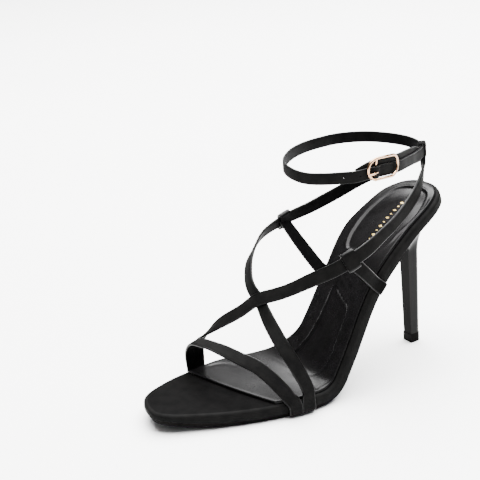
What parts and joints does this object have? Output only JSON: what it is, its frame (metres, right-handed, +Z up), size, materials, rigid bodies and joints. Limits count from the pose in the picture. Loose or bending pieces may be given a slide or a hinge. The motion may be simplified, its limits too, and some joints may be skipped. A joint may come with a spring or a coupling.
{
  "type": "strappy high heeled sandal",
  "caption": "Left high-heeled sandal with a padded sock, a toe strap, two crossing straps and a buckled ankle strap.",
  "frame": {"origin": "middle of the bottom of the whole shoe, on the floor", "axes": "+Z up, -Y towards the toe, +X towards the lateral side"},
  "size_m": [0.085, 0.2076, 0.1436],
  "materials": {
    "black_satin": "satin",
    "sock_leather": "semi-gloss",
    "heel_lacquer": "gloss",
    "sole_rubber": "matte",
    "rose_gold": "polished"
  },
  "bodies": {
    "root": {"insole_board": "black_satin", "sock_lining": "sock_leather", "outsole": "sole_rubber", "heel": "heel_lacquer", "top_lift": "sole_rubber", "upper": "black_satin", "ankle_strap": "black_satin", "buckle_frame": "rose_gold", "buckle_prong": "rose_gold"}
  },
  "joints": []
}
